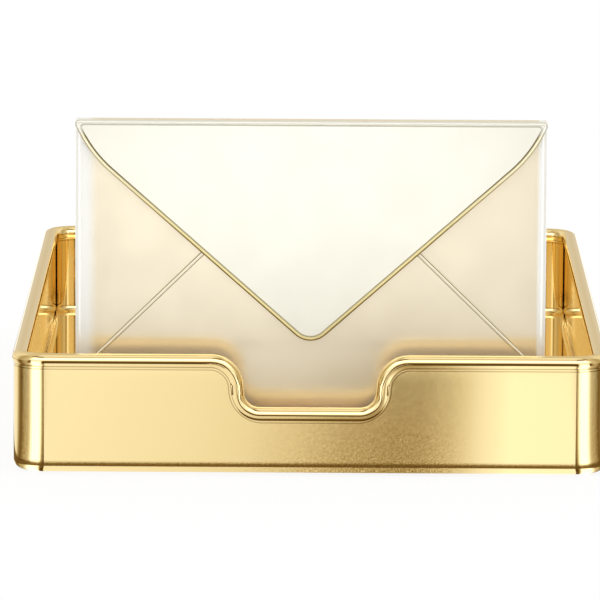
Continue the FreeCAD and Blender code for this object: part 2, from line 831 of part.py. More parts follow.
bottom_front_fold = fillet(
    bottom_flap, "front_fold", bottom_hollow, bottom_front_edge, "front_fold_radius"
)
bottom_back_edge = edges_between(
    bottom_front_fold.Shape, (None, ENVELOPE_BACK, REST_TOP), (None, ENVELOPE_BACK, REST_TOP)
)
bottom_back_fold = fillet(
    bottom_flap, "back_fold", bottom_front_fold, bottom_back_edge, "back_fold_radius"
)
seam_start = f"({REST_TOP} + front_fold_radius)"
seam_edges = edges_between(
    bottom_back_fold.Shape, (None, ENVELOPE_FRONT, seam_start), (None, ENVELOPE_FRONT, None)
)
fillet(bottom_flap, "seam_edge", bottom_back_fold, seam_edges, "seam_edge_radius")
seam_corners = [(bottom_corners[0][0], seam_start), *bottom_corners[1:-1]]
seam_corners.append((bottom_corners[-1][0], seam_start))
seam_path = front_sketch(bottom_flap, "seam_path", ENVELOPE_FRONT)
seam_line = inset_corners(seam_corners, "seam_roll_width")
outline(seam_path, seam_line, closed=False)
seam_groove = plan_sketch(bottom_flap, "seam_groove", seam_line[0][1])
outline(
    seam_groove,
    [
        (f"({seam_line[0][0]} - seam_crease_width)", f"({ENVELOPE_FRONT} - seam_crease_depth)"),
        (f"({seam_line[0][0]} + seam_crease_width)", f"({ENVELOPE_FRONT} - seam_crease_depth)"),
        (seam_line[0][0], f"({ENVELOPE_FRONT} + seam_crease_depth)"),
    ],
)
doc.recompute()
sweep(bottom_flap, "seam_crease", seam_groove, seam_path, "SubtractivePipe")

top_flap = new_body("envelope_top_flap")
flap_corner_x = (
    f"({HALF_WIDTH} + flap_corner_radius / tan(flap_corner_angle / 2) - flap_corner_radius)"
)
flap_shoulder_x = f"({flap_corner_x} - flap_shoulder_drop / tan(flap_corner_angle))"
flap_shoulder_z = f"({ENVELOPE_TOP} - flap_shoulder_drop)"


def flap_corners(corner_radius):
    """Outline of the top flap from the tip, anticlockwise."""
    return [
        ("0", f"({ENVELOPE_TOP} - flap_apex_drop)", "flap_tip_radius"),
        (flap_shoulder_x, flap_shoulder_z, "flap_shoulder_radius"),
        (flap_corner_x, ENVELOPE_TOP, corner_radius),
        (f"-{flap_corner_x}", ENVELOPE_TOP, corner_radius),
        (f"-{flap_shoulder_x}", flap_shoulder_z, "flap_shoulder_radius"),
    ]


flap_face = front_sketch(top_flap, "face", FLAP_BACK)
outline(flap_face, flap_corners("flap_corner_radius"))
flap_block = pad(top_flap, "block", flap_face, "top_flap_thickness")
flap_front = f"({FLAP_BACK} - top_flap_thickness)"
flap_edges = edges_between(flap_block.Shape, (None, flap_front, None), (None, flap_front, None))
fillet(top_flap, "front_edge", flap_block, flap_edges, "flap_edge_radius")
tip, right_shoulder, right_top, left_top, left_shoulder = flap_corners(
    "(flap_crease_corner + flap_roll_width)"
)
fold_middle = ("0", ENVELOPE_TOP)
crease_path = front_sketch(top_flap, "crease_path", flap_front)
outline(
    crease_path,
    inset_corners(
        [fold_middle, left_top, left_shoulder, tip, right_shoulder, right_top], "flap_roll_width"
    ),
)
crease_groove = side_sketch(top_flap, "crease_groove", "0")
crease_z = f"({ENVELOPE_TOP} - flap_roll_width)"
outline(
    crease_groove,
    [
        (f"({flap_front} - flap_crease_depth)", f"({crease_z} - flap_crease_width)"),
        (f"({flap_front} + flap_crease_depth)", crease_z),
        (f"({flap_front} - flap_crease_depth)", f"({crease_z} + flap_crease_width)"),
    ],
)
doc.recompute()
sweep(top_flap, "crease", crease_groove, crease_path, "SubtractivePipe")

letter = new_body("letter_card")
card_back = f"({LETTER_BACK} - letter_clearance)"
card_front = f"({LETTER_FRONT} + letter_clearance)"
card_top = f"({web_top} + letter_height)"
card_inside = f"({web_top} + letter_leaf)"
card_section = side_sketch(letter, "section", "0")
outline(
    card_section,
    [
        (card_front, web_top, "letter_leaf"),
        (card_back, web_top, "letter_leaf"),
        (card_back, card_top),
        (f"({card_back} - letter_leaf)", card_top),
        (f"({card_back} - letter_leaf)", card_inside),
        (f"({card_front} + letter_leaf)", card_inside),
        (f"({card_front} + letter_leaf)", card_top),
        (card_front, card_top),
    ],
)
pad(letter, "card", card_section, "letter_width", SideType="Symmetric")


# ---------------------------------------------------------------- checks and export

doc.recompute()
for item in doc.Objects:
    if "Invalid" in item.State or "Error" in item.State:
        raise RuntimeError(f"{item.Name} failed: {item.State}")
    if item.TypeId == "Sketcher::SketchObject" and not item.FullyConstrained:
        raise RuntimeError(f"{item.Name} is not fully held by its sizes")
for item in sub_parts:
    if item.Shape.isNull() or not item.Shape.isValid() or not item.Shape.Solids:
        raise RuntimeError(f"{item.Label} has no valid solid")

os.makedirs("parts", exist_ok=True)
for item in sub_parts:
    item.Shape.exportStep(f"parts/{item.Label}.step")
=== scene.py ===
# %% [markdown]
# # A brass letter tray with an upright envelope
#
# The tray is a double-skinned pan of polished brass with a solid rolled bead round its rim. An
# envelope of pearly paper stands in a low channel just behind the front wall. The solid model is
# already complete, down to the creases in the paper, so this file doesn't rebuild any piece. It
# loads the solids, gives every piece a finish worked out from its own coordinates, and sets up a
# plain pale studio in which polished metal has something to mirror.

import json
import math

import bmesh
import bpy
from mathutils import Matrix, Vector

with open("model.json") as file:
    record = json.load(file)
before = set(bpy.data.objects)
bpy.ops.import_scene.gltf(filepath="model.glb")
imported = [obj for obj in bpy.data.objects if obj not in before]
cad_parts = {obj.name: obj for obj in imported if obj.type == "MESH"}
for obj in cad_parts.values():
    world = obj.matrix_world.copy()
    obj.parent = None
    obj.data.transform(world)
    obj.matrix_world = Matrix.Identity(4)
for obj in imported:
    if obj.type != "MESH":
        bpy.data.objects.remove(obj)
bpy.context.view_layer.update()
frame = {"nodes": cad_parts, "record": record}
nodes = frame["nodes"]

# %% [markdown]
# ## Camera
#
# A long lens far away keeps the tray's sides nearly parallel, as in a product shot. The camera
# stands almost straight in front, looks down by ten degrees and leans a third of a degree. Its
# place could be set by hand in the viewport, but three angles and a point are easier to repeat.

# %% Camera
MM = 0.001
CAMERA_PLACE = Vector((-2.33, -2803.1, 541.0)) * MM
PITCH = math.radians(9.986)
YAW = math.radians(-0.049)
ROLL = math.radians(0.323)
FOCAL_PIXELS = 6154.1
FRAME_PIXELS = 600
SENSOR = 36.0
CLIP_END = 20


def add_camera():
    forward = Vector(
        (math.sin(YAW) * math.cos(PITCH), math.cos(YAW) * math.cos(PITCH), -math.sin(PITCH))
    )
    level = Vector((math.cos(YAW), -math.sin(YAW), 0))
    upright = level.cross(forward)
    right = math.cos(ROLL) * level + math.sin(ROLL) * upright
    up = math.cos(ROLL) * upright - math.sin(ROLL) * level
    data = bpy.data.cameras.new("camera")
    data.sensor_width = SENSOR
    data.lens = FOCAL_PIXELS / FRAME_PIXELS * SENSOR
    data.clip_end = CLIP_END
    camera = bpy.data.objects.new("camera", data)
    bpy.context.scene.collection.objects.link(camera)
    turn = Matrix((right, up, -forward)).transposed().to_4x4()
    camera.matrix_world = Matrix.Translation(CAMERA_PLACE) @ turn
    bpy.context.scene.camera = camera
    return camera


camera = add_camera()
print("lens", round(camera.data.lens, 1), "mm")

# %% [markdown]
# ## Shader maths
#
# A finish is easier to read when its maths looks like maths. `Wire` wraps one socket of a node
# tree: adding or multiplying wires adds the Math nodes. The nodes could be placed by hand in the
# shader editor, but then the sums would be spread over a hundred boxes.

# %% Wires
class Wire:
    def __init__(self, finish, socket):
        self.finish = finish
        self.socket = socket

    def _math(self, operation, first, second=None):
        inputs = {0: first} if second is None else {0: first, 1: second}
        return self.finish.node("ShaderNodeMath", {"operation": operation}, inputs)

    def __add__(self, other):
        return self._math("ADD", self, other)

    def __radd__(self, other):
        return self._math("ADD", other, self)

    def __sub__(self, other):
        return self._math("SUBTRACT", self, other)

    def __rsub__(self, other):
        return self._math("SUBTRACT", other, self)

    def __mul__(self, other):
        return self._math("MULTIPLY", self, other)

    def __rmul__(self, other):
        return self._math("MULTIPLY", other, self)

    def __truediv__(self, other):
        return self._math("DIVIDE", self, other)

    def __pow__(self, other):
        return self._math("POWER", self, other)

    def math(self, operation, second=None):
        """Any other operation of the Math node."""
        return self._math(operation, self, second)

    def smooth(self, low, high, out_low=0.0, out_high=1.0):
        """Rise smoothly from out_low to out_high as the wire goes from low to high."""
        settings = {"interpolation_type": "SMOOTHSTEP"}
        inputs = {
            "Value": self, "From Min": low, "From Max": high, "To Min": out_low, "To Max": out_high
        }
        return self.finish.node("ShaderNodeMapRange", settings, inputs)

    def band(self, low, high, soft):
        """One between low and high, zero outside, with soft edges."""
        rise = self.smooth(low - soft, low + soft)
        return rise * self.smooth(high - soft, high + soft, 1.0, 0.0)


# %% [markdown]
# `Finish` builds one node tree, and `Finish.node` adds any node that isn't plain arithmetic. Its
# ramps hold brightnesses, which a colour ramp only takes up to one, so each stop is stored as a
# share of `FULL` and multiplied back after it is read.

# %% Finishes
FULL = 2.5


class Finish:
    def __init__(self, tree):
        self.tree = tree
        self.tree.nodes.clear()

    def node(self, kind, settings=None, inputs=None, output=0):
        made = self.tree.nodes.new(kind)
        for key, setting in (settings or {}).items():
            if key == "stops":
                self.set_stops(made.color_ramp.elements, setting)
            else:
                setattr(made, key, setting)
        for key, given in (inputs or {}).items():
            if isinstance(given, Wire):
                self.tree.links.new(given.socket, made.inputs[key])
            else:
                made.inputs[key].default_value = given
        return Wire(self, made.outputs[output]) if len(made.outputs) else None

    def set_stops(self, elements, stops):
        while len(elements) < len(stops):
            elements.new(1.0)
        for element, (position, shade) in zip(elements, stops):
            element.position = position
            element.color = (shade, shade, shade, 1)

    def mix(self, factor, first, second):
        """Blend two colours."""
        return self.node(
            "ShaderNodeMix", {"data_type": "RGBA"}, {0: factor, 6: first, 7: second}, output=2
        )

    def ramp(self, wire, stops, span):
        """Read a curve given by (position, height) stops along a span."""
        shares = [(position / span, height / FULL) for position, height in stops]
        return self.node("ShaderNodeValToRGB", {"stops": shares}, {0: wire / span}) * FULL

    def place(self):
        """The point being shaded, in metres, in the object's own frame."""
        return self.node("ShaderNodeTexCoord", output="Object")

    def split(self, vector):
        parts = self.node("ShaderNodeSeparateXYZ", inputs={0: vector})
        return [Wire(self, output) for output in parts.socket.node.outputs]

    def join(self, x, y, z):
        return self.node("ShaderNodeCombineXYZ", inputs={0: x, 1: y, 2: z})

    def noise(self, vector, scale, detail=2.0, roughness=0.5):
        inputs = {"Vector": vector, "Scale": scale, "Detail": detail, "Roughness": roughness}
        return self.node("ShaderNodeTexNoise", inputs=inputs)

    def bump(self, height):
        """Turn a height in metres into a surface normal."""
        return self.node(
            "ShaderNodeBump", inputs={"Strength": 1.0, "Distance": 1.0, "Height": height}
        )

    def surface(self, **inputs):
        named = {key.replace("_", " "): given for key, given in inputs.items()}
        shader = self.node("ShaderNodeBsdfPrincipled", inputs=named)
        self.node("ShaderNodeOutputMaterial", inputs={"Surface": shader})


def new_material(name):
    material = bpy.data.materials.new(name)
    material.use_nodes = True
    return material, Finish(material.node_tree)


print("shader helpers ready")

# %% [markdown]
# ## The line of the rim
#
# The bead is a separate piece, seated on the walls along a fine joint. The joint runs level round
# the tray and dips through the finger notch in front, so its place can't be read from a height
# alone. `below_bead` works out how far a point lies from the middle line of the bead, measured
# into the wall. Two quarter turns of the same radius join the notch's flanks to the level runs:
# near the shoulder the distance is taken from the shoulder's centre, and near the foot of the
# flank from the foot's centre. The flanks lean five degrees, which a small shear takes out. A
# painted mask could hold the same line, but it would need an unwrapped mesh.

# %% Distance from the bead
BEAD_HEIGHT = 50.0
NOTCH_HALF = 32.4
NOTCH_DROP = 23.3
NOTCH_ROUND = 10.4
FLANK_LEAN = math.tan(math.radians(5))
FRONT_WALL = -160.0


def below_bead(x, y, z):
    """Distance in millimetres from the bead's middle line, for a point in millimetres."""
    middle = BEAD_HEIGHT - NOTCH_DROP / 2
    across = x.math("ABSOLUTE") - (z - middle) * FLANK_LEAN
    beside = (NOTCH_HALF + NOTCH_ROUND - across).math("MAXIMUM", 0)
    above = (z - (BEAD_HEIGHT - NOTCH_ROUND)).math("MAXIMUM", 0)
    from_shoulder = NOTCH_ROUND - (beside ** 2 + above ** 2).math("SQRT")
    outside = (across - (NOTCH_HALF - NOTCH_ROUND)).math("MAXIMUM", 0)
    under = (BEAD_HEIGHT - NOTCH_DROP + NOTCH_ROUND - z).math("MAXIMUM", 0)
    from_foot = (outside ** 2 + under ** 2).math("SQRT") - NOTCH_ROUND
    upper = z.math("GREATER_THAN", middle)
    in_front = from_foot + (from_shoulder - from_foot) * upper
    level = BEAD_HEIGHT - z
    return level + (in_front - level) * y.math("LESS_THAN", FRONT_WALL)


print("the joint follows the bead from", BEAD_HEIGHT, "down to", BEAD_HEIGHT - NOTCH_DROP, "mm")

# %% [markdown]
# ## Polished brass
#
# The two pans and the bead are brass, buffed until they mirror the room and then lacquered. Two
# things keep them from looking like plastic. The buffing leaves a grain of half a millimetre that
# tilts the surface by a fraction of a degree, and it shows as a fine sparkle where the mirrored
# room changes quickly. Faint hairlines and smudges make the gloss uneven. Along the joint under
# the bead, two fine brown lines of painted shade darken the crease where the bead sits on the
# wall. A painted image could hold all of this, but worked out from coordinates it stays sharp at
# any size and meets cleanly at corners.

# %% Polished brass
BRASS = (1.0, 0.80, 0.41, 1.0)
# Painted shade: the brown of two fine lines that darken the crease under the bead.
NECK_SHADE = (0.42, 0.29, 0.12, 1.0)
NECK_LINE = (1.70, 2.06)
SEAT_LINE = (2.76, 3.22)
LINE_SOFT = 0.15
SEAT_SHARE = 0.8
LINE_SHARE = 0.9
GLOSS = 0.032
SMUDGE_SCALE = 18.0
SMUDGE_ROUGH = 0.015
HAIRLINE_ACROSS = 60
HAIRLINE_UP = 1500
HAIRLINE_ROUGH = 0.012
GRAIN_SCALE = 2400.0
GRAIN_HEIGHT = 0.0000028
PER_METRE = 1000


def polished_brass():
    material, finish = new_material("polished_brass")
    place = finish.place()
    x, y, z = finish.split(place)
    depth = below_bead(x * PER_METRE, y * PER_METRE, z * PER_METRE)
    # Two lines of painted shade along the crease where the bead sits on the wall.
    shaded_joint = depth.band(*NECK_LINE, LINE_SOFT) + SEAT_SHARE * depth.band(*SEAT_LINE, LINE_SOFT)
    base = finish.mix(shaded_joint * LINE_SHARE, BRASS, NECK_SHADE)
    smudge = finish.noise(place, SMUDGE_SCALE, 4.0).smooth(0.35, 0.7, 0.0, SMUDGE_ROUGH)
    drawn_out = finish.join(x * HAIRLINE_ACROSS, y * HAIRLINE_ACROSS, z * HAIRLINE_UP)
    hairline = finish.noise(drawn_out, 1.0, 2.0)
    rough = GLOSS + smudge + hairline.smooth(0.5, 0.8, 0.0, HAIRLINE_ROUGH)
    grain = finish.noise(place, GRAIN_SCALE, 1.0)
    finish.surface(
        Base_Color=base, Metallic=1.0, Roughness=rough, Normal=finish.bump(grain * GRAIN_HEIGHT)
    )
    return material


finishes = {"polished_brass": polished_brass()}
print("polished brass: grain of", round(PER_METRE / GRAIN_SCALE, 2), "mm")

# %% [markdown]
# ## Turned brass
#
# The spacers between the two pans, the screws and the nuts are cut from bar and never polished.
# The cutting tool leaves fine rings stacked along the bar, which stands upright in every one of
# these pieces. Stretching a noise sideways gives such rings, slightly uneven as real ones are.
# Grooves in the mesh would do the same, with a hundred times the triangles.

# %% Turned brass
TURNED = (0.83, 0.64, 0.33, 1.0)
TURNED_DARK = (0.62, 0.46, 0.22, 1.0)
RING_ACROSS = 30
RING_UP = 4000
RING_HEIGHT = 0.000012
RING_ROUGH = (0.26, 0.42)
CLOUD_SCALE = 220.0


def turned_brass():
    material, finish = new_material("turned_brass")
    place = finish.place()
    x, y, z = finish.split(place)
    stacked = finish.join(x * RING_ACROSS, y * RING_ACROSS, z * RING_UP)
    ring = finish.noise(stacked, 1.0, 3.0)
    cloud = finish.noise(place, CLOUD_SCALE, 3.0)
    base = finish.mix(cloud.smooth(0.4, 0.75, 0.0, 0.6), TURNED, TURNED_DARK)
    finish.surface(
        Base_Color=base,
        Metallic=1.0,
        Roughness=ring.smooth(0.3, 0.7, *RING_ROUGH),
        Normal=finish.bump(ring * RING_HEIGHT),
    )
    return material


finishes["turned_brass"] = turned_brass()
print("turned brass ready")

# %% [markdown]
# ## The edge of the top flap
#
# The top flap's edge is rolled, and painted shade and reflection lie in bands along the roll. The
# edge is a straight run with a round tip of 10 mm and a round shoulder of 58 mm. `inside_flap`
# gives the distance from it: near each round end it is taken from the round's centre, and between
# them from the straight run. The distance could be stored in the mesh instead, but the solid
# model's triangles are too large to hold bands less than a millimetre wide.

# %% Distance from the flap's edge
ENVELOPE_TOP = 153.5
APEX_DROP = 100.7
TIP_ROUND = 10.0
SHOULDER_ROUND = 58.0
SHOULDER_DROP = 15.5
SHOULDER_OUT = 96.5
SHOULDER_STEEP = math.radians(63.5)


def inside_flap(x, z):
    """Distance in millimetres from the top flap's edge, for a point in millimetres."""
    run = math.hypot(SHOULDER_OUT, APEX_DROP - SHOULDER_DROP)
    along_x = SHOULDER_OUT / run
    along_z = (APEX_DROP - SHOULDER_DROP) / run
    side = x.math("ABSOLUTE")
    height = z - (ENVELOPE_TOP - APEX_DROP)
    along = side * along_x + height * along_z
    straight = height * along_x - side * along_z
    tip = TIP_ROUND - (side ** 2 + (height - TIP_ROUND / along_x) ** 2).math("SQRT")
    tip_end = TIP_ROUND * along_z / along_x
    bend = SHOULDER_STEEP - math.atan2(along_z, along_x)
    shoulder_start = run - SHOULDER_ROUND * math.tan(bend / 2)
    out = along - shoulder_start
    shoulder = SHOULDER_ROUND - (out ** 2 + (SHOULDER_ROUND - straight) ** 2).math("SQRT")
    past_tip = along.math("GREATER_THAN", tip_end)
    distance = tip + (straight - tip) * past_tip
    return distance + (shoulder - distance) * along.math("GREATER_THAN", shoulder_start)


print("the flap's edge runs from", ENVELOPE_TOP - APEX_DROP, "up to", ENVELOPE_TOP, "mm")

# %% [markdown]
# ## Painted shade and reflection on the edges
#
# The rolled edges of the flaps are painted gold and olive, and this is painted light. It stands in
# for the gold tray mirrored in the rolls, for their highlights and for the shade on their slopes.
# An edge is found by how far the surface turns away from the envelope's flat face, in the paper's
# own frame, so the paint stays with the flap when it opens. On the body, steep slopes that look up
# are painted a dark olive shade, and the rest of an edge a pale gold reflection. The top flap's
# roll
# is painted all along its width: dark shade on its outer shoulder, a bright gold highlight on its
# crown and a pale shade in the crease beside it. Higher up, towards the fold, the painted shoulder
# and crown grow paler and the crease darker. Along the top fold the edges get grey painted shade.
# A separate strip could be laid on each edge, but paint has no thickness of its own.

# %% Painted shade and reflection on the edges
# Every colour below is painted light on the paper's edges: painted shade, highlights and mirrored
# gold.
SHOULDER_SHADE = (0.27, 0.19, 0.045, 1.0)
HIGH_SHOULDER_SHADE = (0.62, 0.54, 0.33, 1.0)
CROWN_HIGHLIGHT = (1.0, 0.87, 0.43, 1.0)
HIGH_CROWN_HIGHLIGHT = (1.0, 0.93, 0.64, 1.0)
CREASE_SHADE = (0.66, 0.60, 0.41, 1.0)
HIGH_CREASE_SHADE = (0.38, 0.32, 0.18, 1.0)
FOLD_SHADE = (0.50, 0.48, 0.42, 1.0)
EDGE_REFLECTION = (1.0, 0.96, 0.82, 1.0)
UPSLOPE_SHADE = (0.40, 0.32, 0.13, 1.0)
SHADE_CHANGE_HEIGHT = (0.100, 0.142)
CROWN_DEPTH = (0.55, 1.0)
CREASE_DEPTH = (1.5, 1.75)
ROLL_DEPTH = (2.25, 2.45)
EDGE_TILT = (0.003, 0.05)
STEEP_TILT = (0.06, 0.4)
TOP_FOLD = (0.146, 0.150)
TOP_FOLD_SHARE = 0.4
BODY_TOP = (0.145, 0.150)
BODY_SIDE = (0.097, 0.100)


def edge_tilt(finish):
    """How far the surface turns from the envelope's flat face, and how far it looks up."""
    _, tilt_y, tilt_z = finish.split(finish.node("ShaderNodeTexCoord", output="Normal"))
    return 1 - tilt_y.math("ABSOLUTE"), tilt_z


def flap_edge_shading(finish, x, z):
    """Where the top flap's edge gets painted shade and reflection, and in which colour."""
    tilt, _ = edge_tilt(finish)
    depth = inside_flap(x * PER_METRE, z * PER_METRE)
    higher = z.smooth(*SHADE_CHANGE_HEIGHT)
    shoulder = finish.mix(higher, SHOULDER_SHADE, HIGH_SHOULDER_SHADE)
    crown = finish.mix(higher, CROWN_HIGHLIGHT, HIGH_CROWN_HIGHLIGHT)
    crease = finish.mix(higher, CREASE_SHADE, HIGH_CREASE_SHADE)
    inner_half = finish.mix(depth.smooth(*CREASE_DEPTH), crown, crease)
    painted_edge = finish.mix(depth.smooth(*CROWN_DEPTH), shoulder, inner_half)
    on_fold = z.smooth(*TOP_FOLD)
    roll = depth.smooth(*ROLL_DEPTH, 1, 0) * (1 - on_fold)
    ridge = tilt.smooth(*EDGE_TILT) * on_fold * TOP_FOLD_SHARE
    return roll + ridge, finish.mix(on_fold, painted_edge, FOLD_SHADE)


def body_edge_shading(finish, x, z):
    """Where the body's edges get painted shade and reflection, and in which colour."""
    tilt, tilt_z = edge_tilt(finish)
    looks_up = tilt.smooth(*STEEP_TILT) * tilt_z.smooth(-0.1, 0.1)
    off_fold = z.smooth(*BODY_TOP, 1, 0) * x.math("ABSOLUTE").smooth(*BODY_SIDE, 1, 0)
    return tilt.smooth(*EDGE_TILT) * off_fold, finish.mix(looks_up, EDGE_REFLECTION, UPSLOPE_SHADE)


# The width of the roll's painted shade and reflection, in millimetres.
print("gilt roll", ROLL_DEPTH[1], "mm wide")

# %% [markdown]
# ## Pearly paper
#
# The envelope's paper is coated with a pearl lacquer: partly the matt cream of paper, partly a
# soft mirror. A coat over a matt base would be closer to the real layers, but a metallic share
# between none and all gives both at once and keeps the mirror as cream as the paper. Round the
# side folds the paper is painted paler and less of a mirror, more widely on the left than on the
# right: a painted highlight, standing in for the light the rounded folds catch. The top flap's
# copy is painted whiter than the body's, which is painted light too. The paper is clouded very
# faintly, and its fibres show in the gloss.

# %% Pearly paper
PAPER_CREAM = (1.0, 0.905, 0.71, 1.0)
# The flap's paper is painted whiter than the body's: painted light on what is one paper.
FLAP_PAPER_LIT = (1.0, 0.985, 0.87, 1.0)
# Painted highlight: the paper round the side folds is painted paler.
FOLD_HIGHLIGHT = (1.0, 1.0, 0.95, 1.0)
BODY_PEARL = 0.6
FLAP_PEARL = 0.4
WIDE_FOLD = (0.0925, 0.0985)
NARROW_FOLD = (0.0985, 0.0998)
FOLD_PEARL_LOSS = 0.42
PAPER_CLOUD_SCALE = 14.0
CLOUD_SHADE = 0.95
FIBRE_SCALE = 900.0
FIBRE_HEIGHT = 0.000004
SHEEN_SCALE = 60.0
SHEEN_ROUGH = (0.21, 0.24)


def pearl_paper(name, color, pearl, highlight_share, edge_shading):
    """Pearly paper with painted shade and reflection on its edges."""
    material, finish = new_material(name)
    place = finish.place()
    x, _, z = finish.split(place)
    edge, painted_edge = edge_shading(finish, x, z)
    cloud = finish.noise(place, PAPER_CLOUD_SCALE, 3.0).smooth(0.3, 0.8, 0.0, 0.2)
    tinted = finish.mix(cloud, color, tuple(CLOUD_SHADE * share for share in color))
    fold = ((-1 * x).smooth(*WIDE_FOLD) + x.smooth(*NARROW_FOLD)) * highlight_share
    base = finish.mix(edge, finish.mix(fold, tinted, FOLD_HIGHLIGHT), painted_edge)
    fibre = finish.noise(place, FIBRE_SCALE, 5.0)
    sheen = finish.noise(place, SHEEN_SCALE, 3.0)
    finish.surface(
        Base_Color=base,
        Metallic=pearl - FOLD_PEARL_LOSS * fold,
        Roughness=sheen.smooth(0.3, 0.7, *SHEEN_ROUGH),
        Normal=finish.bump(fibre * FIBRE_HEIGHT),
    )
    return material


finishes["pearl_paper"] = pearl_paper("pearl_paper", PAPER_CREAM, BODY_PEARL, 1.0, body_edge_shading)
lit_flap_paper = pearl_paper("pearl_flap_lit", FLAP_PAPER_LIT, FLAP_PEARL, 0.0, flap_edge_shading)
print("pearly paper ready")

# %% [markdown]
# ## Letter paper
#
# The card inside the envelope is uncoated laid paper. Its mould leaves a comb of fine ridges about
# a millimetre apart, and its fibres lie at random between them. A scan of real paper would hold
# both, but a sine along the card's height gives the ridges without any file.

# %% Letter paper
LAID_SPACING = 0.0011
LETTER = (0.90, 0.88, 0.82, 1.0)
LETTER_FLECK = (0.80, 0.77, 0.69, 1.0)
LAID_HEIGHT = 0.000006
LETTER_FIBRE_SCALE = 1500.0
LETTER_FIBRE_HEIGHT = 0.00002


def letter_paper():
    material, finish = new_material("letter_paper")
    place = finish.place()
    _, _, z = finish.split(place)
    laid = (z * (2 * math.pi / LAID_SPACING)).math("SINE")
    fibre = finish.noise(place, LETTER_FIBRE_SCALE, 4.0, 0.7)
    base = finish.mix(fibre.smooth(0.55, 0.8, 0.0, 0.8), LETTER, LETTER_FLECK)
    height = laid * LAID_HEIGHT + fibre * LETTER_FIBRE_HEIGHT
    finish.surface(Base_Color=base, Metallic=0.0, Roughness=0.8, Normal=finish.bump(height))
    return material


finishes["letter_paper"] = letter_paper()
print("letter paper ready")

# %% [markdown]
# ## Felt
#
# The feet are discs of pressed wool felt. Felt has no weave, only short tangled fibres, so two
# noises of different size make its colour and its nap. Grown hairs would be truer close up, but
# the feet hide under the tray.

# %% Felt
FELT = (0.030, 0.028, 0.026, 1.0)
FELT_LINT = (0.12, 0.11, 0.10, 1.0)
TANGLE_SCALE = 2600.0
TANGLE_HEIGHT = 0.00012
NAP_SCALE = 700.0
NAP_HEIGHT = 0.00015


def felt():
    material, finish = new_material("felt")
    place = finish.place()
    tangle = finish.noise(place, TANGLE_SCALE, 6.0, 0.8)
    nap = finish.noise(place, NAP_SCALE, 4.0, 0.6)
    base = finish.mix(tangle.smooth(0.5, 0.75), FELT, FELT_LINT)
    height = tangle * TANGLE_HEIGHT + nap * NAP_HEIGHT
    finish.surface(Base_Color=base, Metallic=0.0, Roughness=0.95, Normal=finish.bump(height))
    return material


finishes["felt"] = felt()
print("felt ready")

# %% [markdown]
# ## Dress the pieces
#
# The record names a finish for every piece, so the finishes are handed out in a loop, where each
# piece could also be given its own by name. The top flap gets its own copy of the paper, painted
# whiter than the envelope's body as painted light, with painted shade and reflection on its roll.

# %% Dress the pieces
for subpart in frame["record"]["subparts"]:
    node = nodes[subpart["node"]]
    node.data.materials.clear()
    node.data.materials.append(finishes[subpart["material_slot"]])
# The flap takes the copy of the paper that is painted whiter, as painted light.
nodes["envelope_top_flap"].data.materials[0] = lit_flap_paper

# %% [markdown]
# ## What the metal mirrors
#
# Polished metal has no look of its own: it shows the studio. A photographer lights it with large
# pale panels and black flags, and sets them so that their edges run along the form. Here the
# panels are painted on the floor and the sky, and only mirroring rays see them. Real cards and
# lamps could stand there instead, but they would get in the way of other views. Everything else
# is lit by an even white sky and a pale floor, so paper and felt show their own colours.
#
# `warm` turns a brightness into a colour. Dark parts of a studio are browner than bright ones, so
# its green and blue fall off faster below one.

# %% Warm brightness
SHEEN_GREEN = 1.25
SHEEN_BLUE = 1.8


def warm(finish, level):
    plain_part = level.math("MINIMUM", 1)
    bright_part = (level - 1).math("MAXIMUM", 0)
    green = plain_part ** SHEEN_GREEN + bright_part
    blue = plain_part ** SHEEN_BLUE + bright_part
    return finish.node("ShaderNodeCombineColor", inputs={0: level, 1: green, 2: blue})


def ray_kinds(finish):
    rays = finish.node("ShaderNodeLightPath")
    outputs = rays.socket.node.outputs
    return [Wire(finish, outputs[name]) for name in ("Is Camera Ray", "Is Glossy Ray")]


print("studio colours ready")

# %% [markdown]
# The mirrored floor is laid out round the tray's footprint: a straight part in front of each wall
# and a fan round each corner. `AHEAD` is the brightness along the front wall from left to right,
# and `ROUND_CORNER` the brightness by the angle round a corner, from straight ahead to behind.
# Farther off, the floor brightens towards the horizon. Behind the tray it has a level of its own,
# and a dark strip close to the walls draws the line along the rounded bottom edge.

# %% Panels on the floor
HALF_TURN = 180
DEGREE = HALF_TURN / math.pi
STRAIGHT_X = 115.8
STRAIGHT_Y = 161.2
CORNER = 13.8
HALF_SPAN = 130.0
PANEL_LEAN = 0.037
LEAN_PIVOT = 135
AHEAD = [
    (0, 1.03), (40, 0.98), (75, 0.93), (104, 0.86), (126, 0.72), (148, 0.52), (170, 0.42),
    (182, 0.45), (194, 0.63), (208, 0.95), (222, 1.2), (260, 1.15),
]
ROUND_CORNER = [
    (0, 0.2), (5, 0.12), (9, 0.12), (13, 0.5), (16, 1.4), (20, 2.05), (42, 2.05), (48, 1.3),
    (53, 0.85), (60, 0.57), (75, 0.42), (90, 0.18), (98, 0.2), (108, 0.5), (118, 0.95),
    (135, 1.0), (180, 1.0),
]
CORNER_EDGE = (1.8, 4.0)
FAR_RISE = (290, 800, 1.16, 2.3)
FAR_FADE = (10, 110, 1, 0.88)
FAR_EDGE = (215, 330)
BEHIND_RISE = (0, 500, 0.72, 1.12)
BEHIND_EDGE = (165, 215)
STRIP_INNER = (4, 7)
STRIP_OUTER = (24, 32)
STRIP_LEVEL = 0.14
STRIP_SHARE = 0.95
FLAG_SHARE = 0.9


